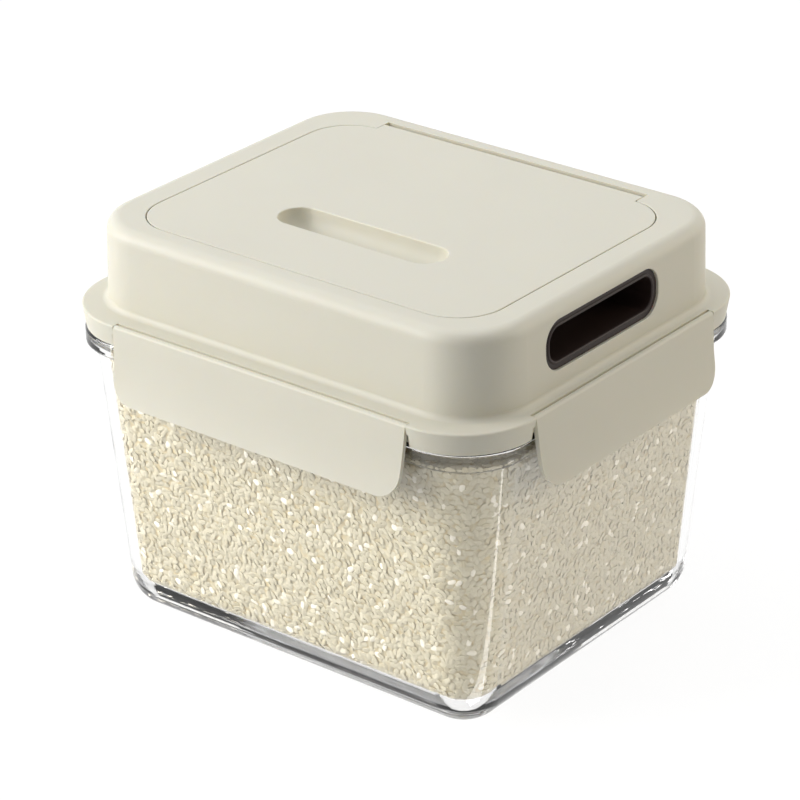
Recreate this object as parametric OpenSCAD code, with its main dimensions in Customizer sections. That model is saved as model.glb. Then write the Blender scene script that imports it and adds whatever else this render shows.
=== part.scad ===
// Rice bin with a flip lid: a heavy pressed-glass bowl, a four-latch plastic lid with a raised
// dome, a flip panel over the pouring mouth, and two recessed finger grips.
// Millimetres. The origin is the bottom centre of the bowl, +Z is up and -Y is the front.

/* [Overall] */
// Width of the lid flange, left to right
flange_w = 273.6; // [230:1:330]
// Depth of the lid flange, front to back
flange_d = 238.8; // [225:1:290]
// Corner radius of the lid flange in plan
flange_r = 41.4; // [36:0.5:50]
// Height of the glass bowl to the top of its lip
bowl_h = 168.2; // [110:1:240]

/* [Glass bowl] */
// How far the outer wall stands in from the flange edge at the table
wall_inset = 20.3; // [16:0.5:24]
// Draft of the glass wall, in degrees
wall_draft = 5.23; // [1:0.25:7]
// Thickness of the glass wall
wall_t = 5.2; // [4:0.2:6.5]
// Thickness of the glass floor
floor_t = 9; // [5:0.5:14]
// Radius of the outer bottom edge
foot_r = 20; // [8:0.5:21]
// Radius inside, where wall and floor meet
floor_r = 15; // [6:0.5:16]
// Height of the locking shoulder
shoulder_h = 9.1; // [7:0.1:12]
// How far the shoulder's straight sides stand in from the flange edge, behind the latches
shoulder_inset = 2.7; // [2.5:0.1:3]
// How much smaller the shoulder's corner radius is than the flange's, which brings its corners out
shoulder_corner = 6.8; // [0:0.1:7]
// Radius of the shoulder's lower edge
shoulder_r = 2; // [1:0.1:2]
// Height of the lip above the shoulder
lip_h = 6.1; // [5:0.1:9]
// Thickness of the lip that presses into the seal
lip_t = 3.9; // [3:0.1:4.5]

/* [Lid shell] */
// How far the dome's foot stands in from the flange edge, left and right
dome_side_inset = 8.7; // [8:0.1:10]
// How far the dome's foot stands in from the flange edge, front and back
dome_front_inset = 13.9; // [12:0.1:16]
// Corner radius of the dome at its foot
dome_r = 35.1; // [32:0.5:38]
// Height of the dome above the flange
dome_h = 44.6; // [40:0.5:70]
// Draft of the dome's side, in degrees
dome_draft = 1.5; // [0.5:0.25:3]
// Radius round the top edge of the dome
dome_edge_r = 7; // [4:0.5:9]
// Radius of the fillet at the dome's foot
dome_foot_r = 3; // [1:0.25:4]
// Wall thickness of the dome
dome_t = 2.8; // [2:0.1:3.5]
// Thickness of the flange
flange_t = 3; // [2.4:0.1:4]
// Height of the skirt below the top of the flange
skirt_h = 11.7; // [9:0.1:12]
// How far the skirt leans in at its bottom edge
skirt_lean = 1.7; // [0:0.1:2.5]
// Wall thickness of the skirt and of the seal ribs
skirt_t = 2; // [1.6:0.1:2.4]

/* [Flip lid] */
// How far the flip panel's opening stands in from the dome's foot, left and right
flip_side = 19.65; // [18:0.05:30]
// How far the opening stands in from the dome's foot at the front
flip_front_inset = 15; // [12:0.5:22]
// How far the opening stands in from the dome's foot at the back, beside the hinge tab
flip_back_inset = 23.3; // [22:0.1:32]
// Corner radius of the opening
flip_r = 25.9; // [20:0.1:28]
// Thickness of the flip panel
panel_t = 3; // [2.4:0.1:4]
// Gap all round the flip panel
panel_gap = 0.6; // [0.4:0.1:1]
// Small radius along the edges on both sides of that gap
soft_r = 0.5; // [0.2:0.1:0.8]
// Length of the finger slot
slot_l = 102; // [70:1:130]
// Width of the finger slot
slot_w = 23; // [18:0.5:26]
// Place of the slot's centre line, front to back
slot_y = -35.2; // [-45:0.5:10]
// How far the hinge tab's ends stand in from the sides of the opening
tab_inset = 24.95; // [24:0.05:45]
// How far the hinge tab runs on past the panel's back edge
tab_run = 6.7; // [5.5:0.1:8]

/* [Mouth] */
// How far the pouring mouth stands in from the sides of the panel's opening
mouth_side = 15.05; // [13.5:0.05:30]
// How far the mouth stands back from the panel opening's front edge
mouth_front = 15; // [12:0.5:30]
// How far the mouth stands in from the panel opening's back edge
mouth_back = 16.2; // [15:0.5:40]
// Inner corner radius of the mouth
mouth_r = 20; // [12:0.5:28]
// Wall thickness of the mouth collar
collar_t = 2.6; // [2:0.1:3]

/* [Latches] */
// How far a latch's ends stand back from where the flange's corners start
latch_end_inset = 3; // [3:0.5:30]
// How far a latch hangs below the top of the flange
latch_drop = 38.8; // [34:0.1:46]
// Thickness of a latch
latch_t = 2.4; // [2:0.1:2.6]
// Radius of the hinge barrel along a latch's top edge
barrel_r = 1.8; // [1.6:0.1:2]
// Radius of the stub pins at a latch's ends
stub_r = 0.9; // [0.7:0.05:1]
// Radius of a latch's lower corners
latch_corner_r = 13; // [8:0.5:16]

/* [Finger grips] */
// Length of the window in the dome's side
grip_l = 94; // [70:1:110]
// Height of the window
grip_h = 26.4; // [24:0.2:26.8]
// Corner radius of the window
grip_r = 11.5; // [8:0.5:11.5]
// Place of the window's centre, front to back
grip_y = -8; // [-15:0.5:5]
// Depth of the window's centre below the top of the dome
grip_drop = 20.8; // [20.6:0.2:23]
// Width of the liner's bezel
bezel_w = 4.2; // [3:0.1:4.5]
// Depth of the finger pocket behind the dome's side
pocket_depth = 27; // [18:0.5:28]

/* [Hidden] */
$fn = 72;

ivory = "#dedacb";
umber = "#3b302c";
silicone = "#ecebe6";
steel = "#b9bcc0";
clear_glass = "#cfd9dc";

// Clearances
seat_gap = 0.3;      // between pieces of two bodies that rest on each other
fit_gap = 0.2;       // between moulded pieces that are joined in one body
pin_play = 0.07;     // radial, a turning pin in its bore
pin_grip = 0.02;     // radial, a pin that is held in its bore
over = 1;            // how far a cutting shape runs past the face it cuts

// Levels
seal_t = 2.9;
flange_z = bowl_h + seat_gap + seal_t + flange_t;
top_z = flange_z + dome_h;
shoulder_top = bowl_h - lip_h;
shoulder_z = shoulder_top - shoulder_h;

// Corner centres: everything that follows the flange is swept round these
core_x = flange_w / 2 - flange_r;
core_y = flange_d / 2 - flange_r;
dome_w = flange_w - 2 * dome_side_inset;
dome_d = flange_d - 2 * dome_front_inset;
dome_core_x = dome_w / 2 - dome_r;
dome_core_y = dome_d / 2 - dome_r;

// Glass section, measured outwards from a corner centre
wall_x = flange_r - wall_inset;
shoulder_x = flange_r - shoulder_corner;
shoulder_core_x = flange_w / 2 - shoulder_inset - shoulder_x;
shoulder_core_y = flange_d / 2 - shoulder_inset - shoulder_x;
neck_x = wall_x + shoulder_z * tan(wall_draft);
bore_x = neck_x - wall_t;
lip_x = bore_x + lip_t;
neck_fillet = 1.5;
shoulder_top_r = 1.5;

// Skirt
flange_edge_r = 1;
skirt_angle = atan(skirt_lean / (skirt_h - flange_edge_r));

// Seal channel
outer_rib_x = lip_x + seat_gap + 0.1;
inner_rib_x = bore_x - 0.9;
outer_rib_drop = shoulder_top + 0.9;
inner_rib_h = 6;
seal_play = 0.1;
seal_groove = 0.6;

// Latch section
latch_slope = 0.09;
curl_start = 16;
curl_r = 104;
curl_end = 17.9;
latch_end_gap = 0.4;
notch_r = 1.8;       // rounds the skirt's ends beside a latch, below the hinge
latch_taper = 0.05;
latch_end_frame = 50;
notch_depth = 2 * barrel_r + 0.4;
ridge_depth = 2.15;
ridge_top = flange_z - shoulder_z + 0.45;
ridge_h = 3.4;
ridge_inset = 16;
stub_l = 3;
cheek_t = 5;
cheek_h = 6;

// Flip lid
flip_w = dome_w - 2 * flip_side;
flip_front = -dome_d / 2 + flip_front_inset;
flip_back = dome_d / 2 - flip_back_inset;
tab_l = flip_w - 2 * tab_inset;
seat_t = 2.8;
seat_wall = 2.5;
panel_rest = 0.4;
panel_bevel = 1.3;   // how far the panel's edge leans in at the bottom, so that it can swing out
tab_end_gap = 0.5;
hinge_y = flip_back + 4.7;
hinge_drop = 4;
hinge_z = top_z - hinge_drop;
knuckle_r = 3.2;
pin_r = 1.5;
pin_l = 14;
slit_w = 3.5;
trough_t = 2.4;
scoop_r = slot_w / 2;
scoop_drop = 1.5;
scoop_t = 2;
slot_edge_r = 0.6;
liner_t = 2;
liner_play = 1.2;
liner_base_t = 2;
liner_z = top_z - scoop_drop - scoop_r - scoop_t - 0.5 - liner_base_t;
flip_seal_t = 2.6;
flip_seal_w = 3.4;

// Mouth
mouth_w = flip_w - 2 * mouth_side;
mouth_y0 = flip_front + mouth_front;
mouth_y1 = flip_back - mouth_back;
mouth_d = mouth_y1 - mouth_y0;
mouth_cy = (mouth_y0 + mouth_y1) / 2;
collar_top = top_z - panel_t - flip_seal_t - seat_gap;
frame_t = 2.2;
frame_r = dome_r - dome_t;
frame_half_x = min(core_x + inner_rib_x - skirt_t, dome_core_x + frame_r);
frame_half_y = min(core_y + inner_rib_x - skirt_t, dome_core_y + frame_r);
gusset_h = 16;
gusset_w = 9;
gusset_t = 1.8;
gusset_x = 0.32 * mouth_w * [-1, 0, 1];

// Finger grips
grip_face_x = dome_w / 2 - (dome_h + flange_t - grip_drop) * tan(dome_draft);
window_edge_r = 0.4;
bezel_set = 1.4;     // how far the bezel's flat band stands in from the dome's side
bead_r = 0.9;
bead_sink = 0.3;
pocket_t = 2;
ear_l = 1.8;
ear_t = 1.6;
ear_gap = 0.35;

// ---- Shapes that several pieces share ----

// A rounded rectangle in plan, w by d, centred
module plan(w, d, r) {
    square([w - 2 * r, d], center = true);
    square([w, d - 2 * r], center = true);
    for (x = [-1, 1], y = [-1, 1])
        translate([x * (w / 2 - r), y * (d / 2 - r)])
            circle(r);
}

// Sweeps a section, drawn outwards from x = 0 and up along y, round a rounded rectangle
// whose corner centres stand hx and hy from the middle
module sweep(hx, hy) {
    for (quarter = [0 : 3]) {
        a = quarter % 2 == 0 ? hx : hy;
        b = quarter % 2 == 0 ? hy : hx;
        rotate(90 * quarter) {
            translate([a, b, 0])
                rotate_extrude(angle = 90)
                    children();
            if (a > 0)
                translate([-a, b, 0])
                    rotate([90, 0, 90])
                        linear_extrude(2 * a)
                            children();
        }
    }
}

// The same with the middle filled from z0 to z1
module solid_sweep(hx, hy, z0, z1) {
    sweep(hx, hy)
        children();
    translate([-hx, -hy, z0])
        cube([2 * hx, 2 * hy, z1 - z0]);
}

// Solid half section of a wall that leans out as it rises, with a round lower edge
module wall_section(x_base, h, edge_r, draft) {
    cx = x_base - edge_r / cos(draft) + edge_r * tan(draft);
    polygon([
        [0, 0],
        [cx, 0],
        [cx + edge_r * cos(draft), edge_r - edge_r * sin(draft)],
        [x_base + h * tan(draft), h],
        [0, h],
    ]);
    intersection() {
        translate([cx, edge_r])
            circle(edge_r);
        square([x_base + edge_r, edge_r]);
    }
}

// A concave fillet in the corner at the origin, filling the quadrant +x, +y
module fillet(r) {
    difference() {
        translate([-r / 4, -r / 4])
            square(r * 5 / 4);
        translate([r, r])
            circle(r);
    }
}

// What is cut away to round a convex edge at the origin whose piece lies at -x and -y
module round_over(r) {
    difference() {
        translate([-r, -r])
            square(r + over);
        translate([-r, -r])
            circle(r);
    }
}

// Puts a piece drawn for the front edge (-Y) at each edge: 0 front, 1 right, 2 back, 3 left
module at_edge(side) {
    rotate(90 * side)
        translate([0, -(side % 2 == 0 ? flange_d : flange_w) / 2, 0])
            children();
}

function latch_l(side) = 2 * ((side % 2 == 0 ? core_x : core_y) - latch_end_inset);

// ---- Glass bowl ----

// Locking shoulder with its two round edges
module shoulder_section() {
    polygon([
        [0, shoulder_z],
        [shoulder_x - shoulder_r, shoulder_z],
        [shoulder_x, shoulder_z + shoulder_r],
        [shoulder_x, shoulder_top - shoulder_top_r],
        [shoulder_x - shoulder_top_r, shoulder_top],
        [0, shoulder_top],
    ]);
    translate([shoulder_x - shoulder_r, shoulder_z + shoulder_r])
        circle(shoulder_r);
    translate([shoulder_x - shoulder_top_r, shoulder_top - shoulder_top_r])
        circle(shoulder_top_r);
}

module bowl_outer_section() {
    wall_section(wall_x, shoulder_z + over, foot_r, wall_draft);
    translate([neck_x, shoulder_z])
        mirror([0, 1])
            fillet(neck_fillet);
    // Lip with a fully round top
    translate([0, shoulder_top - over])
        square([lip_x, lip_h + over - lip_t / 2]);
    translate([lip_x - lip_t / 2, bowl_h - lip_t / 2])
        circle(lip_t / 2);
}

module bowl_bore_section() {
    x0 = wall_x + floor_t * tan(wall_draft) - wall_t;
    translate([0, floor_t])
        wall_section(x0, shoulder_z - floor_t, floor_r, wall_draft);
    translate([0, shoulder_z - over / 2])
        square([bore_x, bowl_h - shoulder_z + over]);
}

module glass_bowl() {
    color(clear_glass)
        difference() {
            union() {
                solid_sweep(core_x, core_y, 0, bowl_h - lip_t)
                    bowl_outer_section();
                solid_sweep(shoulder_core_x, shoulder_core_y, shoulder_z, shoulder_top)
                    shoulder_section();
            }
            solid_sweep(core_x, core_y, floor_t, bowl_h + over / 2)
                bowl_bore_section();
        }
}

// ---- Lid shell ----

module dome_section(x_base, z_base, z_top, edge_r) {
    x_top = x_base - (z_top - z_base) * tan(dome_draft);
    translate([0, z_top])
        mirror([0, 1])
            wall_section(x_top, z_top - z_base, edge_r, dome_draft);
}

module flange_section() {
    z = flange_z;
    x = flange_r;
    // Flange and skirt
    polygon([
        [outer_rib_x - over, z - flange_t],
        [outer_rib_x - over, z],
        [x - flange_edge_r, z],
        [x, z - flange_edge_r],
        [x - skirt_lean, z - skirt_h],
        [x - skirt_lean - skirt_t, z - skirt_h],
        [x - skirt_t, z - flange_t],
    ]);
    translate([x - flange_edge_r, z - flange_edge_r])
        circle(flange_edge_r);
    // Ribs that hold the seal
    translate([outer_rib_x, outer_rib_drop])
        square([skirt_t, z - flange_t / 2 - outer_rib_drop]);
    translate([inner_rib_x - skirt_t, z - flange_t - inner_rib_h])
        square([skirt_t, inner_rib_h + flange_t / 2]);
}

module flange_body() {
    sweep(core_x, core_y)
        flange_section();
    translate([0, 0, flange_z - flange_t])
        linear_extrude(flange_t)
            plan(
                2 * (core_x + outer_rib_x - over / 2),
                2 * (core_y + outer_rib_x - over / 2),
                outer_rib_x - over / 2
            );
}

module dome_body() {
    solid_sweep(dome_core_x, dome_core_y, flange_z - flange_t, top_z)
        dome_section(dome_r, flange_z - flange_t, top_z, dome_edge_r);
    sweep(dome_core_x, dome_core_y)
        translate([dome_r, flange_z])
            fillet(dome_foot_r);
}

module dome_cavity() {
    z1 = top_z - dome_t;
    solid_sweep(dome_core_x, dome_core_y, flange_z, z1)
        dome_section(dome_r - dome_t, flange_z, z1, dome_edge_r - dome_t);
    translate([0, 0, flange_z - flange_t - over])
        linear_extrude(flange_t + 2 * over)
            plan(2 * frame_half_x, 2 * frame_half_y, frame_r);
}

// Plan of the panel opening, grown by g all round
module flip_plan(g) {
    translate([0, (flip_front + flip_back) / 2])
        plan(flip_w + 2 * g, flip_back - flip_front + 2 * g, flip_r + g);
}

// Plan of the pouring mouth, grown by g all round
module mouth_plan(g) {
    translate([0, mouth_cy])
        plan(mouth_w + 2 * g, mouth_d + 2 * g, mouth_r + g);
}

slit_back = flip_back + tab_run + slit_w;
tab_slot_l = tab_l + 2 * tab_end_gap;
seat_z = top_z - panel_t - panel_rest;
trough_z = hinge_z - knuckle_r - panel_rest;
trough_front = hinge_y - knuckle_r - panel_rest;

module flip_seat() {
    translate([0, 0, seat_z - seat_t])
        linear_extrude(top_z - over - seat_z + seat_t)
            flip_plan(seat_wall);
    // Walls of the hinge trough, with the bosses that hold the pins
    translate([-tab_slot_l / 2 - pin_l / 2 - trough_t, trough_front - trough_t, trough_z - trough_t])
        cube([
            tab_slot_l + pin_l + 2 * trough_t,
            slit_back - trough_front + 2 * trough_t,
            top_z - over - trough_z + trough_t,
        ]);
}

module flip_recess() {
    translate([0, 0, seat_z])
        linear_extrude(top_z - seat_z + over)
            flip_plan(0);
    translate([0, (flip_front + flip_back) / 2, 0])
        sweep(flip_w / 2 - flip_r, (flip_back - flip_front) / 2 - flip_r)
            translate([flip_r, top_z])
                mirror([1, 0])
                    round_over(soft_r);
    // Slot for the hinge tab, with the trough and the slit behind it
    translate([-tab_slot_l / 2, flip_back - over, seat_z])
        cube([tab_slot_l, slit_back - flip_back + over, top_z - seat_z + over]);
    translate([-tab_slot_l / 2, trough_front, trough_z])
        cube([tab_slot_l, slit_back - trough_front, top_z - trough_z + over]);
    translate([0, 0, seat_z - seat_t - over])
        linear_extrude(seat_t + 2 * over)
            mouth_plan(collar_t + fit_gap);
}

// Stands a plan up in the dome's leaning side: its x runs back, its y up, its z out of the side
module at_grip(mirrored, depth) {
    mirror([mirrored ? 1 : 0, 0, 0])
        translate([grip_face_x, grip_y, top_z - grip_drop])
            rotate([0, -dome_draft, 0])
                translate([-depth, 0, 0])
                    rotate([90, 0, 90])
                        children();
}

module grip_window(mirrored) {
    at_grip(mirrored, dome_t + over)
        linear_extrude(dome_t + 3 * over)
            plan(grip_l, grip_h, grip_r);
    at_grip(mirrored, 0)
        sweep(grip_l / 2 - grip_r, grip_h / 2 - grip_r)
            translate([grip_r, 0])
                mirror([1, 0])
                    round_over(window_edge_r);
}

// Notch for a latch. Below the hinge the skirt's ends beside it are rounded along its lean
module latch_notch(l) {
    translate([-l / 2, -over, flange_z - skirt_h - over])
        cube([l, notch_depth + over, skirt_h + 2 * over]);
    for (end = [0, 1])
        mirror([end, 0, 0])
            translate([-l / 2, 0, flange_z - flange_edge_r])
                rotate([skirt_angle, 0, 0])
                    translate([0, 0, -skirt_h - over])
                        linear_extrude(skirt_h + over - notch_depth)
                            mirror([0, 1])
                                round_over(notch_r);
}

// A solid block behind the skirt at each end of a latch, where its stub pin turns
module latch_cheeks(l) {
    for (end = [-1, 1])
        translate([end * (l / 2 + cheek_t / 2), 0, 0])
            translate([-cheek_t / 2, over, flange_z - cheek_h])
                cube([cheek_t, flange_r - outer_rib_x - skirt_t / 2 - over, cheek_h - over / 2]);
}

module latch_bores(l) {
    translate([-l / 2 - stub_l - over, barrel_r, flange_z - barrel_r])
        rotate([0, 90, 0])
            cylinder(h = l + 2 * (stub_l + over), r = stub_r + pin_play);
}

module lid_shell() {
    color(ivory)
        difference() {
            union() {
                difference() {
                    union() {
                        flange_body();
                        dome_body();
                    }
                    dome_cavity();
                }
                flip_seat();
                for (side = [0 : 3])
                    at_edge(side)
                        latch_cheeks(latch_l(side) + 2 * latch_end_gap);
            }
            flip_recess();
            hinge_bores(tab_slot_l + pin_l, pin_r + pin_grip);
            grip_window(false);
            grip_window(true);
            for (side = [0 : 3])
                at_edge(side) {
                    latch_notch(latch_l(side) + 2 * latch_end_gap);
                    latch_bores(latch_l(side) + 2 * latch_end_gap);
                }
        }
}

module hinge_bores(l, r) {
    translate([-l / 2, hinge_y, hinge_z])
        rotate([0, 90, 0])
            cylinder(h = l, r = r);
}

// ---- Mouth frame: closes the dome from below and lines the pouring mouth ----

module gusset() {
    rotate([90, 0, 0])
        translate([0, 0, -gusset_t / 2])
            linear_extrude(gusset_t)
                polygon([[0, 0], [gusset_w, 0], [0, gusset_h]]);
}

module mouth_frame() {
    z0 = flange_z - flange_t;
    color(ivory)
        difference() {
            union() {
                translate([0, 0, z0])
                    linear_extrude(frame_t)
                        plan(
                            2 * (frame_half_x - fit_gap),
                            2 * (frame_half_y - fit_gap),
                            frame_r - fit_gap
                        );
                translate([0, 0, z0])
                    linear_extrude(collar_top - z0)
                        mouth_plan(collar_t);
                for (x = gusset_x) {
                    translate([x, mouth_y0 - collar_t, z0 + frame_t])
                        rotate(-90)
                            gusset();
                    translate([x, mouth_y1 + collar_t, z0 + frame_t])
                        rotate(90)
                            gusset();
                }
            }
            translate([0, 0, z0 - over])
                linear_extrude(collar_top - z0 + 2 * over)
                    mouth_plan(0);
        }
}

// ---- Seals ----

module lid_seal() {
    x0 = inner_rib_x + seal_play;
    x1 = outer_rib_x - seal_play;
    z0 = flange_z - flange_t - seal_t;
    color(silicone)
        sweep(core_x, core_y)
            difference() {
                translate([x0, z0])
                    square([x1 - x0, seal_t]);
                translate([(x0 + x1) / 2 - 1, z0 - over])
                    square([2, over + seal_groove]);
            }
}

module flip_seal() {
    z0 = top_z - panel_t - flip_seal_t;
    inner = -liner_play;
    color(silicone)
        difference() {
            translate([0, 0, z0])
                linear_extrude(flip_seal_t)
                    mouth_plan(inner + flip_seal_w);
            translate([0, 0, z0 - over])
                linear_extrude(flip_seal_t + 2 * over)
                    mouth_plan(inner);
        }
}

// ---- Latches ----

// Section across a latch: x runs outwards from the flange edge, y up from the flange top
module latch_section() {
    lean = latch_slope * (curl_start - barrel_r);
    angle = atan(latch_slope);
    centre = [lean + curl_r * cos(angle), -curl_start + curl_r * sin(angle)];
    face = latch_t / cos(angle);
    translate([-barrel_r, -barrel_r])
        circle(barrel_r);
    polygon([
        [0, -barrel_r],
        [lean, -curl_start],
        [lean - latch_t * cos(angle), -curl_start - latch_t * sin(angle)],
        [-face, -barrel_r],
    ]);
    // Lower part, curling outwards for the fingertips
    translate(centre)
        intersection() {
            difference() {
                circle(curl_r + latch_t, $fn = 4 * $fn);
                circle(curl_r, $fn = 4 * $fn);
            }
            polygon([
                [0, 0],
                2 * curl_r * [-cos(angle), -sin(angle)],
                2 * curl_r * [-cos(curl_end), -sin(curl_end)],
            ]);
        }
    translate(centre - (curl_r + latch_t / 2) * [cos(curl_end), sin(curl_end)])
        circle(latch_t / 2);
}

// Ridge inside the latch that catches under the glass shoulder
module ridge_section() {
    tip_r = 0.6;
    face = latch_slope * (ridge_top - barrel_r) - latch_t / 2;
    translate([-ridge_depth + tip_r, -ridge_top - tip_r])
        circle(tip_r);
    polygon([
        [-ridge_depth + tip_r, -ridge_top],
        [face, -ridge_top],
        [face + 1, -ridge_top - ridge_h],
        [-ridge_depth, -ridge_top - 3 * tip_r],
        [-ridge_depth, -ridge_top - tip_r],
    ]);
}

// Face of a latch, seen from outside, with leaning ends and round lower corners
module latch_face(l) {
    hc = latch_drop - latch_corner_r;
    lean = atan(latch_taper);
    cx = latch_end_frame - latch_taper * hc - latch_corner_r / cos(lean);
    // Each end is drawn in a frame of its own, a set way in from it, so that its round and its edge meet at any length
    for (end = [0, 1])
        mirror([end, 0])
            translate([l / 2 - latch_end_frame, 0]) {
                translate([cx, -hc])
                    circle(latch_corner_r);
                polygon([
                    [latch_end_frame, over],
                    [latch_end_frame, -barrel_r],
                    [cx + latch_corner_r * cos(lean), -hc - latch_corner_r * sin(lean)],
                    [cx, -hc],
                    [cx, -latch_drop],
                    [0, -latch_drop],
                    [0, over],
                ]);
            }
    translate([latch_end_frame - l / 2, -latch_drop])
        square([l - 2 * latch_end_frame, latch_drop + over]);
}

module latch(side) {
    l = latch_l(side);
    reach = 20;
    color(ivory)
        at_edge(side)
            translate([0, 0, flange_z]) {
                intersection() {
                    translate([l / 2, 0, 0])
                        rotate([90, 0, -90])
                            linear_extrude(l)
                                latch_section();
                    translate([0, reach, 0])
                        rotate([90, 0, 0])
                            linear_extrude(2 * reach)
                                latch_face(l);
                }
                translate([l / 2 - ridge_inset, 0, 0])
                    rotate([90, 0, -90])
                        linear_extrude(l - 2 * ridge_inset)
                            ridge_section();
                translate([-l / 2 - stub_l, barrel_r, -barrel_r])
                    rotate([0, 90, 0])
                        cylinder(h = l + 2 * stub_l, r = stub_r);
            }
}

module latch_front() { latch(0); }
module latch_right() { latch(1); }
module latch_back() { latch(2); }
module latch_left() { latch(3); }

// ---- Flip lid ----

module slot_plan() {
    square([slot_l - slot_w, slot_w], center = true);
    for (end = [-1, 1])
        translate([end * (slot_l - slot_w) / 2, 0])
            circle(scoop_r);
}

// The scooped finger pocket, grown by g: a rounded trough along X with round ends
module scoop(g) {
    half = slot_l / 2 - scoop_r;
    translate([0, slot_y, top_z - scoop_drop]) {
        rotate([0, 90, 0])
            translate([0, 0, -half])
                cylinder(h = 2 * half, r = scoop_r + g);
        for (end = [-1, 1])
            translate([end * half, 0, 0])
                sphere(scoop_r + g);
    }
}

module flip_lid() {
    half_x = flip_w / 2 - flip_r;
    half_y = (flip_back - flip_front) / 2 - flip_r;
    panel_z = top_z - panel_t;
    edge_x = flip_r - panel_gap;
    color(ivory)
        difference() {
            union() {
                translate([0, (flip_front + flip_back) / 2, 0])
                    difference() {
                        solid_sweep(half_x, half_y, panel_z, top_z)
                            polygon([
                                [0, panel_z],
                                [edge_x - panel_bevel, panel_z],
                                [edge_x, top_z - soft_r],
                                [edge_x, top_z],
                                [0, top_z],
                            ]);
                        sweep(half_x, half_y)
                            translate([edge_x, top_z])
                                round_over(soft_r);
                    }
                // Hinge tab and its knuckle
                translate([-tab_l / 2, flip_back - 3 * panel_t, panel_z])
                    cube([tab_l, 3 * panel_t + tab_run - panel_gap, panel_t]);
                hinge_bores(tab_l, knuckle_r);
                intersection() {
                    scoop(scoop_t);
                    translate([-slot_l, slot_y - slot_w, top_z - 2 * slot_w])
                        cube([2 * slot_l, 2 * slot_w, 2 * slot_w - panel_t / 2]);
                }
            }
            scoop(0);
            translate([0, slot_y, top_z - scoop_drop])
                linear_extrude(scoop_drop + over)
                    slot_plan();
            translate([0, slot_y, 0])
                sweep(slot_l / 2 - scoop_r, 0)
                    translate([scoop_r, top_z])
                        mirror([1, 0])
                            round_over(slot_edge_r);
            hinge_bores(tab_l + 2 * over, pin_r + pin_play);
        }
}

module flip_liner() {
    z1 = top_z - panel_t;
    color(ivory)
        difference() {
            translate([0, 0, liner_z])
                linear_extrude(z1 - liner_z)
                    mouth_plan(-liner_play);
            translate([0, 0, liner_z + liner_base_t])
                linear_extrude(z1 - liner_z)
                    mouth_plan(-liner_play - liner_t);
        }
}

// Steel pin at one end of the flip lid's hinge, half in the shell and half in the knuckle
module hinge_pin(end) {
    color(steel)
        translate([end * tab_slot_l / 2, hinge_y, hinge_z])
            rotate([0, 90, 0])
                cylinder(h = pin_l, r = pin_r, center = true);
}

module hinge_pin_left() { hinge_pin(-1); }
module hinge_pin_right() { hinge_pin(1); }

// ---- Grip liners: the dark pockets that the fingers hook into ----

// Bezel and pocket wall: a flat band, then a round bead along the pocket's mouth. y is 0 at the dome's side
module grip_section(hole_r, deep) {
    bead_y = -bezel_set - bead_sink;
    polygon([
        [hole_r, -deep],
        [hole_r, bead_y],
        [hole_r + bead_r, bead_y + bead_r],
        [hole_r + bead_r, -bezel_set],
        [hole_r + bezel_w, -bezel_set],
        [hole_r + bezel_w, -dome_t - ear_t],
        [hole_r + pocket_t, -dome_t - ear_t],
        [hole_r + pocket_t, -deep],
    ]);
    translate([hole_r + bead_r, bead_y])
        circle(bead_r);
}

module grip_liner(mirrored) {
    hole_l = grip_l - 2 * (fit_gap + bezel_w);
    hole_h = grip_h - 2 * (fit_gap + bezel_w);
    hole_r = grip_r - fit_gap - bezel_w;
    deep = pocket_depth + pocket_t;
    color(umber) {
        at_grip(mirrored, 0)
            sweep(hole_l / 2 - hole_r, hole_h / 2 - hole_r)
                grip_section(hole_r, deep);
        at_grip(mirrored, deep)
            linear_extrude(pocket_t)
                plan(hole_l + pocket_t, hole_h + pocket_t, hole_r + pocket_t / 2);
        // Ears that bear on the inside of the dome's wall
        at_grip(mirrored, dome_t + ear_gap + ear_t)
            linear_extrude(ear_t)
                difference() {
                    plan(grip_l + 2 * ear_l, hole_h, hole_r);
                    plan(hole_l + pocket_t, hole_h + pocket_t, hole_r + pocket_t / 2);
                }
    }
}

module grip_liner_right() { grip_liner(false); }
module grip_liner_left() { grip_liner(true); }

glass_bowl();
lid_shell();
mouth_frame();
lid_seal();
latch_front();
latch_back();
latch_left();
latch_right();
flip_lid();
flip_liner();
flip_seal();
hinge_pin_left();
hinge_pin_right();
grip_liner_left();
grip_liner_right();
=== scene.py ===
"""Looks for a glass rice bin with a flip lid: materials for its moulded and pressed parts, the rice inside, and a studio."""

import math
import random

import bmesh
import bpy
from mathutils import Matrix, Vector


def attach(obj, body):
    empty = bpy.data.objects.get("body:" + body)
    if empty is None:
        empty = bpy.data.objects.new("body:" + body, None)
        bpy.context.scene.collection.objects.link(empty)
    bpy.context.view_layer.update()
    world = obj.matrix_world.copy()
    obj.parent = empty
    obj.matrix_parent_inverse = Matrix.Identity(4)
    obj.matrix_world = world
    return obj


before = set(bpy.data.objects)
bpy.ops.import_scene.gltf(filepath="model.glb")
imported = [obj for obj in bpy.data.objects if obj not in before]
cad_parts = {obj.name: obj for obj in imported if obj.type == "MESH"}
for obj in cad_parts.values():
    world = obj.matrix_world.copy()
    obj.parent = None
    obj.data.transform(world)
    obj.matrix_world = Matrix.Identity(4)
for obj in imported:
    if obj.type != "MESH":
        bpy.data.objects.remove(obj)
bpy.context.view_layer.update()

bl_info = {
    "name": "Glass Rice Bin",
    "version": (1, 0, 0),
    "blender": (4, 5, 0),
    "location": "3D View > Sidebar > Rice Bin",
    "description": "Finishes a glass rice bin with a flip lid, fills it with rice and sets the studio round it",
    "category": "Object",
}

MM = 0.001

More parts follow.
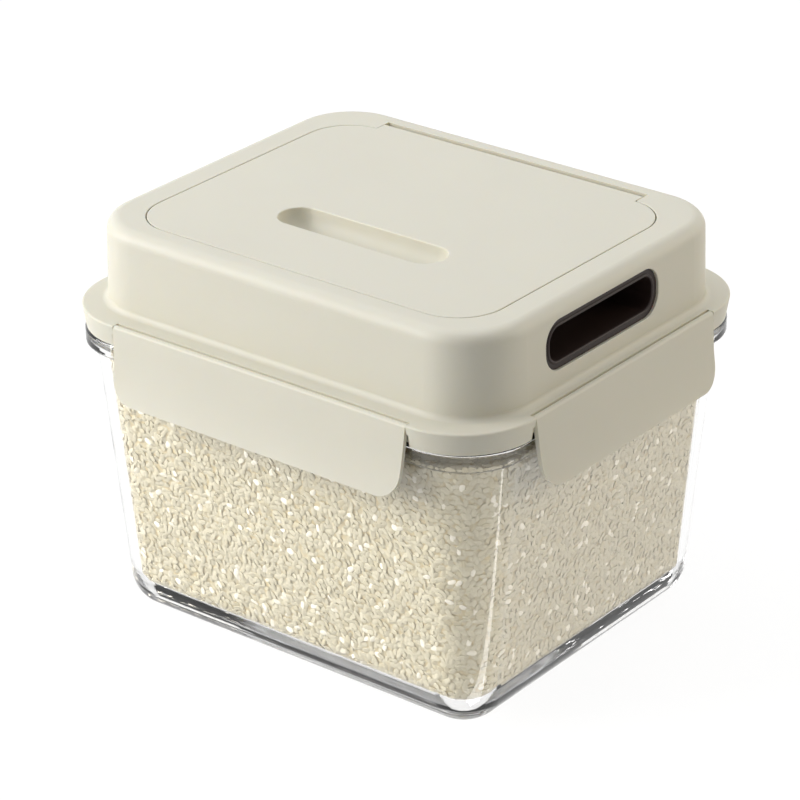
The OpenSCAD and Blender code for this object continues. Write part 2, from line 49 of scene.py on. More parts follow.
# Plan of the bowl, in millimetres: the corner centres, and the inner wall outwards from them
CORE_X = 95.4
CORE_Y = 78.0
INNER_AT_TABLE = 15.9
WALL_DRAFT = math.radians(5.23)
FLOOR_Z = 9.0
FLOOR_R = 15.0

# How much of its half thickness a grain keeps on the side that lies against the glass
FLAT_SIDE = 0.35


# ---- Small helpers ----


def srgb(code):
    """An sRGB hex colour as the linear red, green, blue and alpha that a shader socket takes."""
    parts = [int(code[i : i + 2], 16) / 255 for i in (1, 3, 5)]
    linear = [c / 12.92 if c <= 0.04045 else ((c + 0.055) / 1.055) ** 2.4 for c in parts]
    return (*linear, 1.0)


def linear(colour):
    """A colour picked in the panel, which Blender already holds as linear, with its alpha."""
    return (*colour, 1.0)


def add(tree, kind, links=None, **settings):
    """Adds a node. A setting names a property or an input socket; links maps an input to another node's output."""
    node = tree.nodes.new(kind)
    for key, value in settings.items():
        if hasattr(node, key) and key not in node.inputs:
            setattr(node, key, value)
        else:
            node.inputs[key.replace("_", " ")].default_value = value
    for key, output in (links or {}).items():
        tree.links.new(output, node.inputs[key])
    return node


def new_material(name):
    """An empty node material with its output, as (material, tree, output)."""
    material = bpy.data.materials.new(name)
    material.use_nodes = True
    tree = material.node_tree
    tree.nodes.clear()
    return material, tree, tree.nodes.new("ShaderNodeOutputMaterial")


def dress(node_name, material):
    """Gives a CAD node this material in all its slots."""
    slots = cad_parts[node_name].data.materials
    slots.clear()
    slots.append(material)


def grow(mesh, name, material, body):
    """Makes an object of a finished mesh that rides on a CAD body."""
    piece = bpy.data.objects.new(name, mesh)
    bpy.context.scene.collection.objects.link(piece)
    mesh.materials.append(material)
    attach(piece, body)
    return piece


# ---- What a user would change ----


class RiceBinColours(bpy.types.PropertyGroup):
    """Colours of the bin's materials and of the rice."""

    ivory: bpy.props.FloatVectorProperty(
        name="Ivory plastic", description="Moulded lid, latches and flip panel",
        subtype="COLOR", size=3, min=0, max=1, default=srgb("#DEDACA")[:3],
    )
    umber: bpy.props.FloatVectorProperty(
        name="Dark grip plastic", description="Recessed carrying grips",
        subtype="COLOR", size=3, min=0, max=1, default=srgb("#281C18")[:3],
    )
    silicone: bpy.props.FloatVectorProperty(
        name="Silicone seals", description="The two sealing rings",
        subtype="COLOR", size=3, min=0, max=1, default=srgb("#E9E8E3")[:3],
    )
    rice: bpy.props.FloatVectorProperty(
        name="Polished rice", description="Body colour of the translucent grains",
        subtype="COLOR", size=3, min=0, max=1, default=srgb("#C9C1A8")[:3],
    )
    rice_chalk: bpy.props.FloatVectorProperty(
        name="Chalky rice", description="The few grains that are opaque white",
        subtype="COLOR", size=3, min=0, max=1, default=srgb("#F3EDDD")[:3],
    )
    rice_gap: bpy.props.FloatVectorProperty(
        name="Rice in shade", description="Rice seen deep between the outer grains",
        subtype="COLOR", size=3, min=0, max=1, default=srgb("#C4B48C")[:3],
    )


class RiceBinSizes(bpy.types.PropertyGroup):
    """Sizes of the rice and of how it is filled in."""

    grain_length: bpy.props.FloatProperty(
        name="Grain length", description="Length of a short rice grain",
        subtype="DISTANCE", unit="LENGTH", default=4.8 * MM, min=2 * MM, max=9 * MM,
    )
    grain_width: bpy.props.FloatProperty(
        name="Grain width", description="Width of a short rice grain",
        subtype="DISTANCE", unit="LENGTH", default=3.0 * MM, min=1 * MM, max=5 * MM,
    )
    grain_thickness: bpy.props.FloatProperty(
        name="Grain thickness", description="Thickness of a short rice grain",
        subtype="DISTANCE", unit="LENGTH", default=2.1 * MM, min=1 * MM, max=5 * MM,
    )
    fill_height: bpy.props.FloatProperty(
        name="Fill height", description="Height of the rice above the table",
        subtype="DISTANCE", unit="LENGTH", default=152 * MM, min=40 * MM, max=158 * MM,
    )
    row_step: bpy.props.FloatProperty(
        name="Row step", description="Distance between rows of grains against the glass",
        subtype="DISTANCE", unit="LENGTH", default=2.9 * MM, min=2 * MM, max=6 * MM,
    )
    grain_step: bpy.props.FloatProperty(
        name="Grain step", description="Distance between grains in a row",
        subtype="DISTANCE", unit="LENGTH", default=3.1 * MM, min=2 * MM, max=6 * MM,
    )


class RiceBinStudio(bpy.types.PropertyGroup):
    """Camera, lamps and floor."""

    azimuth: bpy.props.FloatProperty(
        name="Camera azimuth", description="Turn of the camera from the front towards the right",
        subtype="ANGLE", unit="ROTATION", default=math.radians(37.956),
    )
    elevation: bpy.props.FloatProperty(
        name="Camera elevation", description="Angle of the camera above the horizon",
        subtype="ANGLE", unit="ROTATION", default=math.radians(25.966),
    )
    roll: bpy.props.FloatProperty(
        name="Camera roll", description="Roll of the camera about its view",
        subtype="ANGLE", unit="ROTATION", default=math.radians(-0.401),
    )
    place: bpy.props.FloatVectorProperty(
        name="Camera place", description="Where the camera stands",
        subtype="TRANSLATION", unit="LENGTH", size=3, default=(0.98858, -1.25109, 0.89069),
    )
    lens: bpy.props.FloatProperty(
        name="Lens", description="Focal length on a 36 mm wide sensor",
        subtype="DISTANCE_CAMERA", default=154.72, min=20, max=400,
    )
    shift: bpy.props.FloatProperty(
        name="Shift", description="Sideways shift of the frame, as a share of its width",
        default=-0.0337, min=-0.2, max=0.2,
    )
    key_power: bpy.props.FloatProperty(
        name="Left softbox", description="Power of the softbox on the left",
        subtype="POWER", unit="POWER", default=34, min=0,
    )
    side_power: bpy.props.FloatProperty(
        name="Right softbox", description="Power of the softbox on the right",
        subtype="POWER", unit="POWER", default=9.5, min=0,
    )
    top_power: bpy.props.FloatProperty(
        name="Top softbox", description="Power of the softbox overhead",
        subtype="POWER", unit="POWER", default=13, min=0,
    )
    ambient: bpy.props.FloatProperty(
        name="Ambient", description="Strength of the light from all round",
        default=0.22, min=0, max=2,
    )


# ---- Materials ----


def polypropylene(name, colour, sheen=0.5):
    """Injection-moulded polypropylene with a fine spark-eroded skin: a soft, even sheen with no sharp reflections, and
    a little depth, so that narrow gaps glow warm instead of going black."""
    material, tree, out = new_material(name)
    place = add(tree, "ShaderNodeTexCoord")
    # The eroded skin's grit is about 0.15 mm; it is drawn at 0.7 mm so that it shows
    grit = add(tree, "ShaderNodeTexNoise", {"Vector": place.outputs["Object"]}, Scale=1 / (0.7 * MM), Detail=3.0, Roughness=0.6)
    # Broad, very faint unevenness of the moulded walls, some 60 mm across
    flow = add(tree, "ShaderNodeTexNoise", {"Vector": place.outputs["Object"]}, Scale=1 / (60 * MM), Detail=2.0)
    tone = add(tree, "ShaderNodeMapRange", {"Value": flow.outputs["Fac"]}, To_Min=0.975, To_Max=1.02)
    tint = add(tree, "ShaderNodeMix", {"Factor": tone.outputs["Result"]}, data_type="RGBA")
    tint.inputs[6].default_value = (0, 0, 0, 1)
    tint.inputs[7].default_value = colour
    tint.clamp_factor = False
    rough = add(tree, "ShaderNodeMapRange", {"Value": grit.outputs["Fac"]}, To_Min=0.42, To_Max=0.54)
    bump = add(tree, "ShaderNodeBump", {"Height": grit.outputs["Fac"]}, Strength=0.12, Distance=0.05 * MM)
    skin = add(
        tree, "ShaderNodeBsdfPrincipled",
        {"Base Color": tint.outputs[2], "Roughness": rough.outputs["Result"], "Normal": bump.outputs["Normal"]},
        IOR=1.49, Specular_IOR_Level=sheen, Subsurface_Weight=0.3, Subsurface_Radius=(1.0, 0.75, 0.45), Subsurface_Scale=2.5 * MM,
    )
    tree.links.new(skin.outputs["BSDF"], out.inputs["Surface"])
    return material


def pressed_glass(name):
    """Pressed and fire-polished soda-lime glass: colourless, sharp reflections, and a very faint waviness that bends lines."""
    material, tree, out = new_material(name)
    place = add(tree, "ShaderNodeTexCoord")
    # Pressing leaves waves some 25 mm long and a few microns deep
    wave = add(tree, "ShaderNodeTexNoise", {"Vector": place.outputs["Object"]}, Scale=1 / (25 * MM), Detail=1.0)
    bump = add(tree, "ShaderNodeBump", {"Height": wave.outputs["Fac"]}, Strength=0.25, Distance=0.4 * MM)
    glass = add(
        tree, "ShaderNodeBsdfPrincipled", {"Normal": bump.outputs["Normal"]},
        Base_Color=(0.99, 0.99, 0.99, 1), Roughness=0.0, IOR=1.52, Transmission_Weight=1.0,
    )
    # Lamps reach the rice through the glass
    clear = add(tree, "ShaderNodeBsdfTransparent", Color=(0.965, 0.965, 0.96, 1))
    path = add(tree, "ShaderNodeLightPath")
    mix = add(tree, "ShaderNodeMixShader", {0: path.outputs["Is Shadow Ray"], 1: glass.outputs["BSDF"], 2: clear.outputs["BSDF"]})
    tree.links.new(mix.outputs["Shader"], out.inputs["Surface"])
    return material


def silicone_rubber(name, colour):
    """Moulded silicone rubber: milky, matt and slightly translucent."""
    material, tree, out = new_material(name)
    place = add(tree, "ShaderNodeTexCoord")
    grain = add(tree, "ShaderNodeTexNoise", {"Vector": place.outputs["Object"]}, Scale=1 / (1.2 * MM), Detail=2.0)
    rough = add(tree, "ShaderNodeMapRange", {"Value": grain.outputs["Fac"]}, To_Min=0.5, To_Max=0.65)
    rubber = add(
        tree, "ShaderNodeBsdfPrincipled", {"Roughness": rough.outputs["Result"]},
        Base_Color=colour, IOR=1.41, Subsurface_Weight=0.3, Subsurface_Scale=2 * MM,
    )
    tree.links.new(rubber.outputs["BSDF"], out.inputs["Surface"])
    return material


def drawn_steel(name):
    """Drawn stainless wire, cut to length: bright, with fine lines along it."""
    material, tree, out = new_material(name)
    place = add(tree, "ShaderNodeTexCoord")
    # Die lines run along X, 0.1 mm apart
    stretch = add(tree, "ShaderNodeMapping", {"Vector": place.outputs["Object"]}, Scale=(20, 1 / (0.1 * MM), 1 / (0.1 * MM)))
    lines = add(tree, "ShaderNodeTexNoise", {"Vector": stretch.outputs["Vector"]}, Scale=1.0, Detail=2.0)
    rough = add(tree, "ShaderNodeMapRange", {"Value": lines.outputs["Fac"]}, To_Min=0.2, To_Max=0.38)
    steel = add(
        tree, "ShaderNodeBsdfPrincipled", {"Roughness": rough.outputs["Result"]},
        Base_Color=srgb("#C4C5C7"), Metallic=1.0,
    )
    tree.links.new(steel.outputs["BSDF"], out.inputs["Surface"])
    return material


def polished_rice(name, colour, chalk):
    """Milled short-grain rice: light goes well into the waxy grains, each a little different, a few chalky white."""
    material, tree, out = new_material(name)
    island = add(tree, "ShaderNodeNewGeometry")
    ramp = add(tree, "ShaderNodeValToRGB", {"Fac": island.outputs["Random Per Island"]})
    warm = tuple(c * k for c, k in zip(colour[:3], (0.95, 0.92, 0.84)))
    stops = ramp.color_ramp.elements
    stops[0].position, stops[0].color = 0.0, (*warm, 1)
    stops[1].position, stops[1].color = 1.0, chalk
    for where, shade in ((0.3, colour), (0.945, tuple(min(c * 1.04, 1) for c in colour[:3]) + (1,)), (0.965, chalk)):
        stops.new(where).color = shade
    place = add(tree, "ShaderNodeTexCoord")
    mottle = add(tree, "ShaderNodeTexNoise", {"Vector": place.outputs["Object"]}, Scale=1 / (1.5 * MM), Detail=2.0)
    rough = add(tree, "ShaderNodeMapRange", {"Value": mottle.outputs["Fac"]}, To_Min=0.4, To_Max=0.52)
    grain = add(
        tree, "ShaderNodeBsdfPrincipled",
        {"Base Color": ramp.outputs["Color"], "Roughness": rough.outputs["Result"]},
        IOR=1.4,
    )
    tree.links.new(grain.outputs["BSDF"], out.inputs["Surface"])
    return material


def packed_rice(name, light, painted_shade):
    """The mass of rice behind the outer grains: grain-sized cells, a little deeper in tone where they meet, which is
    painted shade between packed grains.
    """
    material, tree, out = new_material(name)
    place = add(tree, "ShaderNodeTexCoord")
    cells = add(tree, "ShaderNodeTexVoronoi", {"Vector": place.outputs["Object"]}, Scale=1 / (3.4 * MM), Randomness=1.0)
    # Painted shade: each cell goes from the rice's own colour at its middle to the colour of rice in shade where it
    # meets the next
    ramp = add(tree, "ShaderNodeValToRGB", {"Fac": cells.outputs["Distance"]})
    stops = ramp.color_ramp.elements
    stops[0].position, stops[0].color = 0.2, light
    stops[1].position, stops[1].color = 0.7, painted_shade
    bump = add(tree, "ShaderNodeBump", {"Height": cells.outputs["Distance"]}, Strength=0.4, Distance=0.8 * MM, invert=True)
    mass = add(
        tree, "ShaderNodeBsdfPrincipled",
        {"Base Color": ramp.outputs["Color"], "Normal": bump.outputs["Normal"]},
        Roughness=0.5, IOR=1.5,
    )
    tree.links.new(mass.outputs["BSDF"], out.inputs["Surface"])
    return material


# ---- Operators, one for each piece or group of like pieces ----


class RICEBIN_OT_plastic(bpy.types.Operator):
    """Gives the lid, the latches and the flip panel their moulded ivory plastic"""

    bl_idname = "ricebin.plastic"
    bl_label = "Ivory plastic"
    bl_options = {"REGISTER", "UNDO"}

    def execute(self, context):
        ivory = polypropylene("ivory_polypropylene", linear(context.scene.ricebin_colours.ivory))
        for node in (
            "lid_shell", "mouth_frame", "flip_lid", "flip_liner",
            "latch_front", "latch_back", "latch_left", "latch_right",
        ):
            dress(node, ivory)
        return {"FINISHED"}


class RICEBIN_OT_grips(bpy.types.Operator):
    """Gives the two recessed grips their dark plastic"""

    bl_idname = "ricebin.grips"
    bl_label = "Dark grips"
    bl_options = {"REGISTER", "UNDO"}

    def execute(self, context):
        umber = polypropylene("dark_brown_polypropylene", linear(context.scene.ricebin_colours.umber), sheen=0.3)
        for node in ("grip_liner_left", "grip_liner_right"):
            dress(node, umber)
        return {"FINISHED"}


class RICEBIN_OT_fittings(bpy.types.Operator):
    """Gives the seals their silicone and the hinge pins their steel"""

    bl_idname = "ricebin.fittings"
    bl_label = "Seals and pins"
    bl_options = {"REGISTER", "UNDO"}

    def execute(self, context):
        rubber = silicone_rubber("milky_silicone", linear(context.scene.ricebin_colours.silicone))
        steel = drawn_steel("drawn_stainless_steel")
        for node in ("lid_seal", "flip_seal"):
            dress(node, rubber)
        for node in ("hinge_pin_left", "hinge_pin_right"):
            dress(node, steel)
        return {"FINISHED"}


class RICEBIN_OT_glass(bpy.types.Operator):
    """Gives the bowl its clear pressed glass"""

    bl_idname = "ricebin.glass"
    bl_label = "Glass bowl"
    bl_options = {"REGISTER", "UNDO"}

    def execute(self, context):
        dress("glass_bowl", pressed_glass("pressed_soda_lime_glass"))
        return {"FINISHED"}


def inner_offset(z):
    """How far the bowl's inner wall stands outwards from the corner centres at a height, in millimetres."""
    return INNER_AT_TABLE + z * math.tan(WALL_DRAFT)


def ring_place(s, r):
    """A point at length s along a rounded rectangle with corner radius r round the corner centres, and its outward
    direction in plan. The walk starts at the middle of the front and goes anticlockwise seen from above."""
    arc = math.pi / 2 * r
    legs = ((CORE_X, arc), (2 * CORE_Y, arc), (2 * CORE_X, arc), (2 * CORE_Y, arc), (CORE_X, 0))
    starts = (
        (Vector((0, -CORE_Y)), -90), (Vector((CORE_X, -CORE_Y)), 0), (Vector((CORE_X, CORE_Y)), 90),
        (Vector((-CORE_X, CORE_Y)), 180), (Vector((-CORE_X, -CORE_Y)), 270),
    )
    for (straight, bend), (start, turn) in zip(legs, starts):
        a = math.radians(turn)
        out, along = Vector((math.cos(a), math.sin(a))), Vector((-math.sin(a), math.cos(a)))
        if s <= straight:
            return start + along * s + out * r, out
        s -= straight
        if s <= bend:
            a += s / r
            centre = start + along * straight
            out = Vector((math.cos(a), math.sin(a)))
            return centre + out * r, out
        s -= bend
    return start + along * straight + out * r, out


def ring_length(r):
    return 4 * (CORE_X + CORE_Y) + 2 * math.pi * r


def rice_grain(sizes):
    """One milled grain, lying along X with its broad side up: an ovoid with the small notch where the germ was."""
    bm = bmesh.new()
    bmesh.ops.create_uvsphere(bm, u_segments=8, v_segments=6, radius=0.5)
    bmesh.ops.rotate(bm, verts=bm.verts, matrix=Matrix.Rotation(math.pi / 2, 3, "Y"))
    for v in bm.verts:
        # Fuller ends than an ellipsoid's, a broad side that is a little flat, and the germ's notch at one end
        fuller = 1 + 0.7 * (2 * v.co.x) ** 2 * (1 - (2 * v.co.x) ** 2)
        v.co.y *= fuller
        v.co.z *= fuller * (FLAT_SIDE if v.co.z > 0 else 1.0)
        if v.co.x > 0.2 and v.co.y > 0.1:
            v.co.y *= 0.8
    bmesh.ops.scale(bm, verts=bm.verts, vec=(sizes.grain_length, sizes.grain_width, sizes.grain_thickness))
    mesh = bpy.data.meshes.new("grain")
    bm.to_mesh(mesh)
    bm.free()
    return mesh


def lay_grains(grain, places):
    """One mesh with the grain repeated at each place, where a place is a 4 by 4 matrix."""
    bm = bmesh.new()
    for place in places:
        grain.transform(place)
        bm.from_mesh(grain)
        grain.transform(place.inverted())
    mesh = bpy.data.meshes.new("grains")
    bm.to_mesh(mesh)
    bm.free()
    return mesh


class Bed:
    """A face that grains lie against, unrolled flat in millimetres: each new grain turns to where it has most room."""

    def __init__(self, rng, sizes):
        self.rng = rng
        self.width = sizes.grain_width / MM
        self.arm = (sizes.grain_length - sizes.grain_width) / 2 / MM
        self.cell = sizes.grain_length / MM
        self.taken = {}

    def ends(self, u, v, turn):
        du, dv = self.arm * math.cos(turn), self.arm * math.sin(turn)
        return (u - du, v - dv), (u + du, v + dv)

    def near(self, u, v):
        a, b = int(u // self.cell), int(v // self.cell)
        for i in (a - 1, a, a + 1):
            for k in (b - 1, b, b + 1):
                yield from self.taken.get((i, k), ())

    def place(self, u, v, loose):
        """Settles a grain near (u, v) and returns its place and its turn in the face."""
        best = None
        others = list(self.near(u, v))
        for _ in range(5):
            x, y = u + self.rng.uniform(-loose, loose), v + self.rng.uniform(-loose, loose)
            turn = self.rng.uniform(0, math.pi)
            crowd = 0.0
            for p, q in self.ends(x, y, turn):
                for o, w in others:
                    gap = self.width - math.hypot(p - o, q - w)
                    if gap > 0:
                        crowd += gap * gap
            if best is None or crowd < best[0]:
                best = (crowd, x, y, turn)
        _, x, y, turn = best
        for p, q in self.ends(x, y, turn):
            self.taken.setdefault((int(p // self.cell), int(q // self.cell)), []).append((p, q))
        return x, y, turn


def settle(rng, sizes, spot, normal, tangent, turn, deep, loose):
    """Where a grain lies against a face: its broad side towards the face, turned by turn and tilted a little."""
    spin = Matrix.Rotation(turn, 3, normal)
    tilt = Matrix.Rotation(rng.gauss(0, loose), 3, tangent) @ Matrix.Rotation(rng.gauss(0, loose), 3, normal.cross(tangent))
    x = tilt @ spin @ tangent
    z = tilt @ normal
    y = z.cross(x)
    if rng.random() < 0.5:
        x, y = -x, -y
    size = rng.uniform(0.86, 1.1)
    reach = 0.5 * size * math.sqrt(
        (sizes.grain_length * x.dot(normal)) ** 2
        + (sizes.grain_width * y.dot(normal)) ** 2
        + (FLAT_SIDE * sizes.grain_thickness * z.dot(normal)) ** 2
    )
    centre = spot - normal * (reach + (deep + abs(rng.gauss(0, 0.28))) * MM)
    turned = Matrix((x, y, z)).transposed().to_4x4()
    return Matrix.Translation(centre) @ turned @ Matrix.Scale(size, 4)


class RICEBIN_OT_rice(bpy.types.Operator):
    """Fills the bowl with rice: real grains against the glass and on top, bedded in one solid mass"""

    bl_idname = "ricebin.rice"
    bl_label = "Rice"
    bl_options = {"REGISTER", "UNDO"}

    def execute(self, context):
        sizes = context.scene.ricebin_sizes
        colours = context.scene.ricebin_colours
        rng = random.Random(11)
        grain = rice_grain(sizes)
        skin = polished_rice("polished_rice", linear(colours.rice), linear(colours.rice_chalk))
        fill = sizes.fill_height / MM
        groups = {}
        self.line_wall(rng, sizes, fill, groups)
        self.level_top(rng, sizes, fill, groups)
        for group, places in sorted(groups.items()):
            grow(lay_grains(grain, places), group, skin, "bowl")
        bpy.data.meshes.remove(grain)
        core = packed_rice("packed_rice", linear(colours.rice), linear(colours.rice_gap))
        grow(self.core_mesh(fill), "rice_core", core, "bowl")
        return {"FINISHED"}

    def wall_at(self, t, fill):
        """Height, distance from the corner centres and lean of the inner face, t millimetres down it from the fill."""
        bend_z = FLOOR_Z + FLOOR_R * (1 - math.sin(WALL_DRAFT))
        wall_run = (fill - bend_z) / math.cos(WALL_DRAFT)
        if t < wall_run:
            z = fill - t * math.cos(WALL_DRAFT)
            return z, inner_offset(z), -WALL_DRAFT
        slope = -WALL_DRAFT - (t - wall_run) / FLOOR_R
        bend_centre = inner_offset(bend_z) - FLOOR_R * math.cos(WALL_DRAFT)
        return FLOOR_Z + FLOOR_R * (1 + math.sin(slope)), bend_centre + FLOOR_R * math.cos(slope), slope

    def wall_length(self, fill):
        """The way down the inner face from the fill height to the flat floor."""
        bend_z = FLOOR_Z + FLOOR_R * (1 - math.sin(WALL_DRAFT))
        return (fill - bend_z) / math.cos(WALL_DRAFT) + FLOOR_R * (math.pi / 2 - WALL_DRAFT)

    def line_wall(self, rng, sizes, fill, groups):
        """Adds the places for the grains against the glass to eight groups along the wall."""
        bed = Bed(rng, sizes)
        row, step = sizes.row_step / MM, sizes.grain_step / MM
        rows = int(self.wall_length(fill) / row)
        for i in range(rows):
            t = (i + 0.5) * row
            length = ring_length(self.wall_at(t, fill)[1])
            count = int(length / step)
            for k in range(count):
                u, v, turn = bed.place((k + 0.5 * (i % 2)) * length / count, t, 0.3 * step)
                z, r, slope = self.wall_at(min(max(v, 0), rows * row), fill)
                spot, out = ring_place(u % length, r)
                normal = Vector((out.x * math.cos(slope), out.y * math.cos(slope), math.sin(slope)))
                tangent = Vector((-out.y, out.x, 0))
                point = Vector((spot.x, spot.y, z)) * MM
                group = int(8 * (u % length) / length) % 8 + 1
                groups.setdefault(f"rice_wall_{group}", []).append(settle(rng, sizes, point, normal, tangent, -turn, 0.15, 0.2))

    def level_top(self, rng, sizes, fill, groups):
        """Adds the places for the grains on top of the heap, in quarters."""
        bed = Bed(rng, sizes)
        row, step = sizes.row_step / MM, sizes.grain_step / MM
        half_x, half_y = CORE_X + inner_offset(fill) - 1.5, CORE_Y + inner_offset(fill) - 1.5
        corner = inner_offset(fill) - 1.5
        for i in range(int(2 * half_y / row)):
            for k in range(int(2 * half_x / step)):
                x, y, turn = bed.place((k + 0.5 * (i % 2)) * step - half_x, (i + 0.5) * row - half_y, 0.35 * step)
                past = Vector((max(abs(x) - half_x + corner, 0), max(abs(y) - half_y + corner, 0)))
                if past.length > corner - 0.8:
                    continue
                spot = Vector((x, y, fill)) * MM
                place = settle(rng, sizes, spot, Vector((0, 0, 1)), Vector((1, 0, 0)), turn, 0, 0.25)
                groups.setdefault(f"rice_top_{1 + (x > 0) + 2 * (y > 0)}", []).append(place)

    def core_mesh(self, fill):
        """The mass between and behind the grains: a rounded ring, extruded up the inner face's form, then capped."""
        deep = 1.15
        bm = bmesh.new()
        bmesh.ops.create_circle(bm, cap_ends=False, segments=64, radius=1.0)
        bmesh.ops.rotate(bm, verts=bm.verts, matrix=Matrix.Rotation(math.pi / 64, 3, "Z"))
        around = {v: v.co.copy() for v in bm.verts}
        levels = []
        length = self.wall_length(fill) - 2
        for i in range(25):
            z, r, slope = self.wall_at(length * (1 - i / 24) + deep * i / 24, fill)
            levels.append((z - deep * math.sin(slope), r - deep * math.cos(slope)))
        ring = list(bm.edges)
        for i, (z, r) in enumerate(levels):
            if i:
                made = bmesh.ops.extrude_edge_only(bm, edges=ring)["geom"]
                ring = [e for e in made if isinstance(e, bmesh.types.BMEdge)]
            fresh = {v for e in ring for v in e.verts}
            if i:
                around = {
                    v: around[next(e.other_vert(v) for e in v.link_edges if e.other_vert(v) not in fresh)]
                    for v in fresh
                }
            for v, way in around.items():
                v.co = Vector((
                    math.copysign(CORE_X, way.x) + r * way.x,
                    math.copysign(CORE_Y, way.y) + r * way.y,
                    z,
                )) * MM
            if i == 0:
                bmesh.ops.contextual_create(bm, geom=ring)
        bmesh.ops.contextual_create(bm, geom=ring)
        bmesh.ops.recalc_face_normals(bm, faces=bm.faces)
        for f in bm.faces:
            f.smooth = len(f.verts) == 4
        mesh = bpy.data.meshes.new("rice_core")
        bm.to_mesh(mesh)
        bm.free()
        return mesh


class RICEBIN_OT_stage(bpy.types.Operator):
    """Sets the camera, the floor, the softboxes and the pale surroundings"""

    bl_idname = "ricebin.stage"
    bl_label = "Studio"
    bl_options = {"REGISTER", "UNDO"}

    def execute(self, context):
        studio = context.scene.ricebin_studio
        self.camera(context, studio)
        self.floor()
        middle = Vector((0, 0, 0.1))
        self.softbox("left_softbox", Vector((-1.35, -1.25, 0.85)), middle, (1.3, 1.3), studio.key_power, "#FFFFFF")
        self.softbox("right_softbox", Vector((1.3, 1.2, 0.75)), middle, (1.1, 1.1), studio.side_power, "#FFF3DC")
        self.softbox("top_softbox", Vector((-0.15, 0.25, 1.7)), middle, (1.5, 1.5), studio.top_power, "#F2F7FF")
        self.strip_card()
        self.surroundings(context, studio)
        context.scene.view_settings.view_transform = "Standard"
        # Light goes round many times inside the thick glass foot and between the grains
        paths = context.scene.cycles
        paths.max_bounces = 24
        paths.diffuse_bounces = 8
        paths.glossy_bounces = 16
        paths.transmission_bounces = 24
        return {"FINISHED"}

    def camera(self, context, studio):
        data = bpy.data.cameras.new("photo_camera")
        data.sensor_width = 36
        data.lens = studio.lens
        data.shift_x = studio.shift
        data.clip_start, data.clip_end = 0.05, 60
        camera = bpy.data.objects.new("photo_camera", data)
        context.scene.collection.objects.link(camera)
        back = Vector((
            math.sin(studio.azimuth) * math.cos(studio.elevation),
            -math.cos(studio.azimuth) * math.cos(studio.elevation),
            math.sin(studio.elevation),
        ))
        right = Vector((0, 0, 1)).cross(back).normalized()
        up = back.cross(right)
        c, s = math.cos(studio.roll), math.sin(studio.roll)
        right, up = right * c + up * s, up * c - right * s
        turn = Matrix((right, up, back)).transposed().to_4x4()
        camera.matrix_world = Matrix.Translation(Vector(studio.place)) @ turn
        context.scene.camera = camera

    def softbox(self, name, place, target, size, power, tint):
        data = bpy.data.lights.new(name, "AREA")
        data.shape = "RECTANGLE"
        data.size, data.size_y = size
        data.energy = power
        data.color = srgb(tint)[:3]
        lamp = bpy.data.objects.new(name, data)
        bpy.context.scene.collection.objects.link(lamp)
        lamp.location = place
        lamp.rotation_euler = (place - target).to_track_quat("Z", "Y").to_euler()

    def floor(self):
        bm = bmesh.new()
        bmesh.ops.create_circle(bm, cap_ends=True, segments=96, radius=9.0)
        bmesh.ops.translate(bm, verts=bm.verts, vec=(0, 0, -0.2 * MM))
        mesh = bpy.data.meshes.new("floor")
        bm.to_mesh(mesh)
        bm.free()
        floor = bpy.data.objects.new("floor", mesh)
        bpy.context.scene.collection.objects.link(floor)
        material, tree, out = new_material("white_paper_sweep")
        path = add(tree, "ShaderNodeLightPath")
        paper = add(tree, "ShaderNodeBsdfDiffuse", Color=srgb("#DCDCDA"))
        glow = add(tree, "ShaderNodeEmission", Color=(1, 1, 1, 1), Strength=1.14)
        # Seen white by the camera and by glass, with a share of real paper left so that the shadow stays
        seen = add(tree, "ShaderNodeMixShader", {1: paper.outputs["BSDF"], 2: glow.outputs["Emission"]}, Fac=0.8)
        looks = add(tree, "ShaderNodeMath", {0: path.outputs["Is Camera Ray"], 1: path.outputs["Is Glossy Ray"]}, operation="MAXIMUM")
        looks = add(tree, "ShaderNodeMath", {0: looks.outputs[0], 1: path.outputs["Is Transmission Ray"]}, operation="MAXIMUM")
        both = add(tree, "ShaderNodeMixShader", {0: looks.outputs[0], 1: paper.outputs["BSDF"], 2: seen.outputs["Shader"]})
        tree.links.new(both.outputs["Shader"], out.inputs["Surface"])
        mesh.materials.append(material)

    def strip_card(self):
        """A bright strip that lies beside the near corner and shows only as a line of light in the rounded glass."""
        bm = bmesh.new()
        bmesh.ops.create_grid(bm, x_segments=1, y_segments=1, size=0.5)
        bmesh.ops.translate(bm, verts=bm.verts, vec=(0.5, 0, 0))
        bmesh.ops.scale(bm, verts=bm.verts, vec=(0.3, 0.014, 1))
        bmesh.ops.rotate(bm, verts=bm.verts, matrix=Matrix.Rotation(math.radians(19.9), 3, "Z"))
        bmesh.ops.translate(bm, verts=bm.verts, vec=(0.123, -0.106, 0.5 * MM))
        mesh = bpy.data.meshes.new("strip_card")
        bm.to_mesh(mesh)
        bm.free()
        card = bpy.data.objects.new("strip_card", mesh)
        bpy.context.scene.collection.objects.link(card)
        material, tree, out = new_material("lit_strip")
        glow = add(tree, "ShaderNodeEmission", Color=(1, 1, 1, 1), Strength=6.0)
        tree.links.new(glow.outputs["Emission"], out.inputs["Surface"])
        mesh.materials.append(material)
        for ray in ("camera", "diffuse", "transmission", "volume_scatter", "shadow"):
            setattr(card, "visible_" + ray, False)

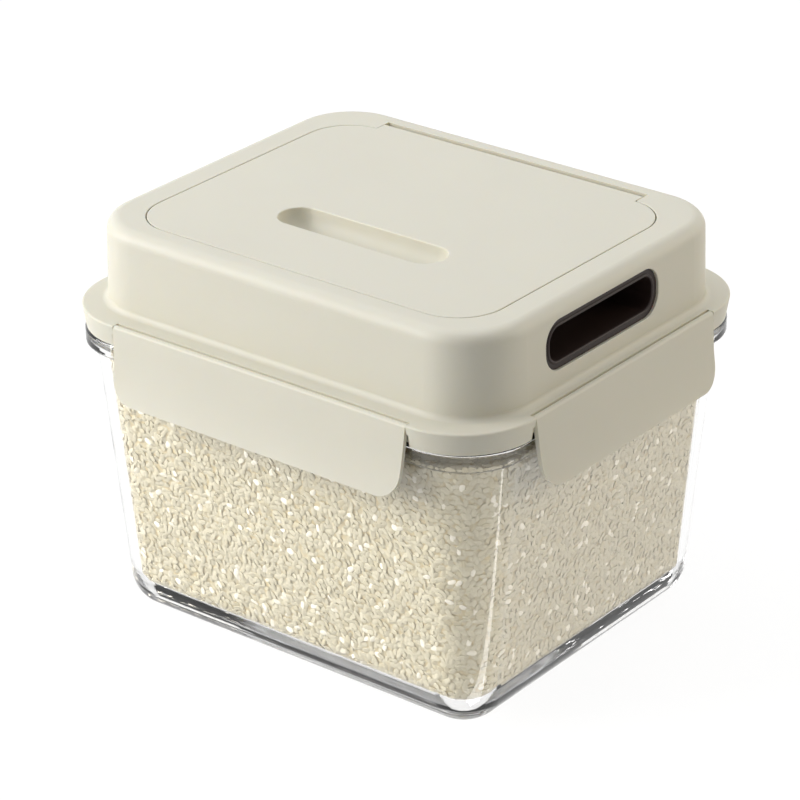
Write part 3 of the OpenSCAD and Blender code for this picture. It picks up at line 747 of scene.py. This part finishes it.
    def surroundings(self, context, studio):
        world = bpy.data.worlds.new("pale_room")
        context.scene.world = world
        world.use_nodes = True
        tree = world.node_tree
        tree.nodes.clear()
        out = tree.nodes.new("ShaderNodeOutputWorld")
        path = add(tree, "ShaderNodeLightPath")
        looks = add(tree, "ShaderNodeMath", {0: path.outputs["Is Camera Ray"], 1: path.outputs["Is Glossy Ray"]}, operation="MAXIMUM")
        looks = add(tree, "ShaderNodeMath", {0: looks.outputs[0], 1: path.outputs["Is Transmission Ray"]}, operation="MAXIMUM")
        strength = add(tree, "ShaderNodeMapRange", {"Value": looks.outputs[0]}, To_Min=studio.ambient, To_Max=1.0)
        room = add(tree, "ShaderNodeBackground", {"Strength": strength.outputs["Result"]}, Color=(1, 1, 1, 1))
        tree.links.new(room.outputs["Background"], out.inputs["Surface"])


class RICEBIN_PT_panel(bpy.types.Panel):
    """Lists the bin's sizes, colours and steps"""

    bl_label = "Rice Bin"
    bl_idname = "RICEBIN_PT_panel"
    bl_space_type = "VIEW_3D"
    bl_region_type = "UI"
    bl_category = "Rice Bin"

    def draw(self, context):
        for title, group in (
            ("Colours", context.scene.ricebin_colours),
            ("Rice", context.scene.ricebin_sizes),
            ("Studio", context.scene.ricebin_studio),
        ):
            box = self.layout.box()
            box.label(text=title)
            for name in group.__annotations__:
                box.prop(group, name)
        for step in STEPS:
            self.layout.operator(step.bl_idname)


STEPS = (
    RICEBIN_OT_plastic, RICEBIN_OT_grips, RICEBIN_OT_fittings,
    RICEBIN_OT_glass, RICEBIN_OT_rice, RICEBIN_OT_stage,
)
CLASSES = (RiceBinColours, RiceBinSizes, RiceBinStudio, *STEPS, RICEBIN_PT_panel)


def register():
    for cls in CLASSES:
        bpy.utils.register_class(cls)
    bpy.types.Scene.ricebin_colours = bpy.props.PointerProperty(type=RiceBinColours)
    bpy.types.Scene.ricebin_sizes = bpy.props.PointerProperty(type=RiceBinSizes)
    bpy.types.Scene.ricebin_studio = bpy.props.PointerProperty(type=RiceBinStudio)


def unregister():
    del bpy.types.Scene.ricebin_colours
    del bpy.types.Scene.ricebin_sizes
    del bpy.types.Scene.ricebin_studio
    for cls in reversed(CLASSES):
        bpy.utils.unregister_class(cls)


def main():
    register()
    bpy.ops.ricebin.plastic()
    bpy.ops.ricebin.grips()
    bpy.ops.ricebin.fittings()
    bpy.ops.ricebin.glass()
    bpy.ops.ricebin.rice()
    bpy.ops.ricebin.stage()


if __name__ == "__main__":
    main()
